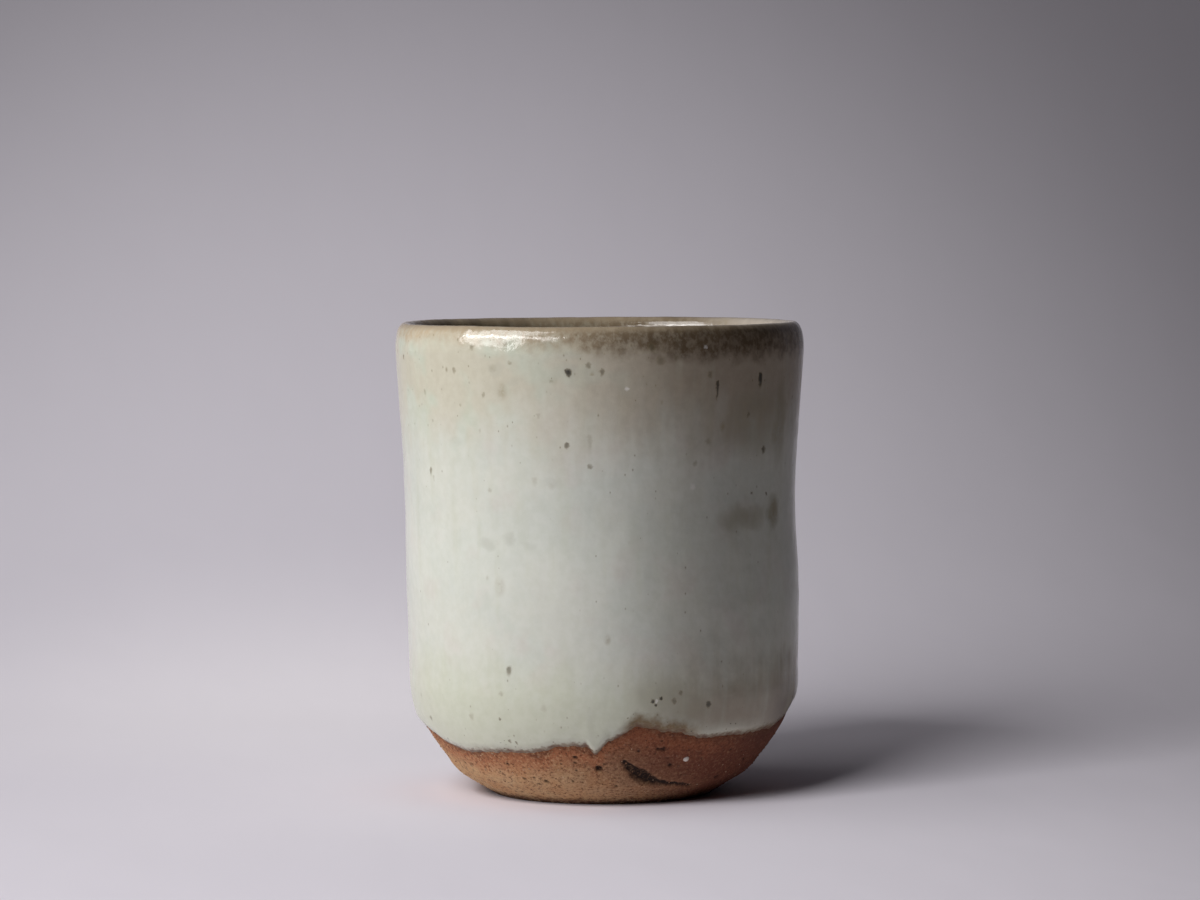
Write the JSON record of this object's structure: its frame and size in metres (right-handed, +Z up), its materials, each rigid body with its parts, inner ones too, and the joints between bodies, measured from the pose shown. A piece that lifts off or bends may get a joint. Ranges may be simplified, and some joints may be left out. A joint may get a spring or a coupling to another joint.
{
  "type": "sake cup",
  "caption": "Small handleless stoneware cup with a waisted wall and round lip, pale glaze inside and out ending in a wavy line above a bare trimmed foot, for sake or tea.",
  "frame": {"origin": "centre of the foot ring, on the surface that the cup stands on", "axes": "+Z up along the cup's axis, -Y towards the pictured front, +X to the right of that view"},
  "size_m": [0.06, 0.06, 0.069],
  "materials": {
    "bare_clay": "unglazed sandy stoneware, matt",
    "pale_glaze": "pale grey-green glaze, satin gloss with iron specks",
    "brown_rim_glaze": "thin olive-brown glaze, glossy",
    "inside_glaze": "pale grey-green glaze, glossy",
    "quartz": "white quartz, rough"
  },
  "bodies": {
    "root": {"clay_body": "bare_clay", "outer_glaze": "pale_glaze", "rim_glaze": "brown_rim_glaze", "inner_glaze": "inside_glaze", "quartz_grains": "quartz"}
  },
  "joints": []
}
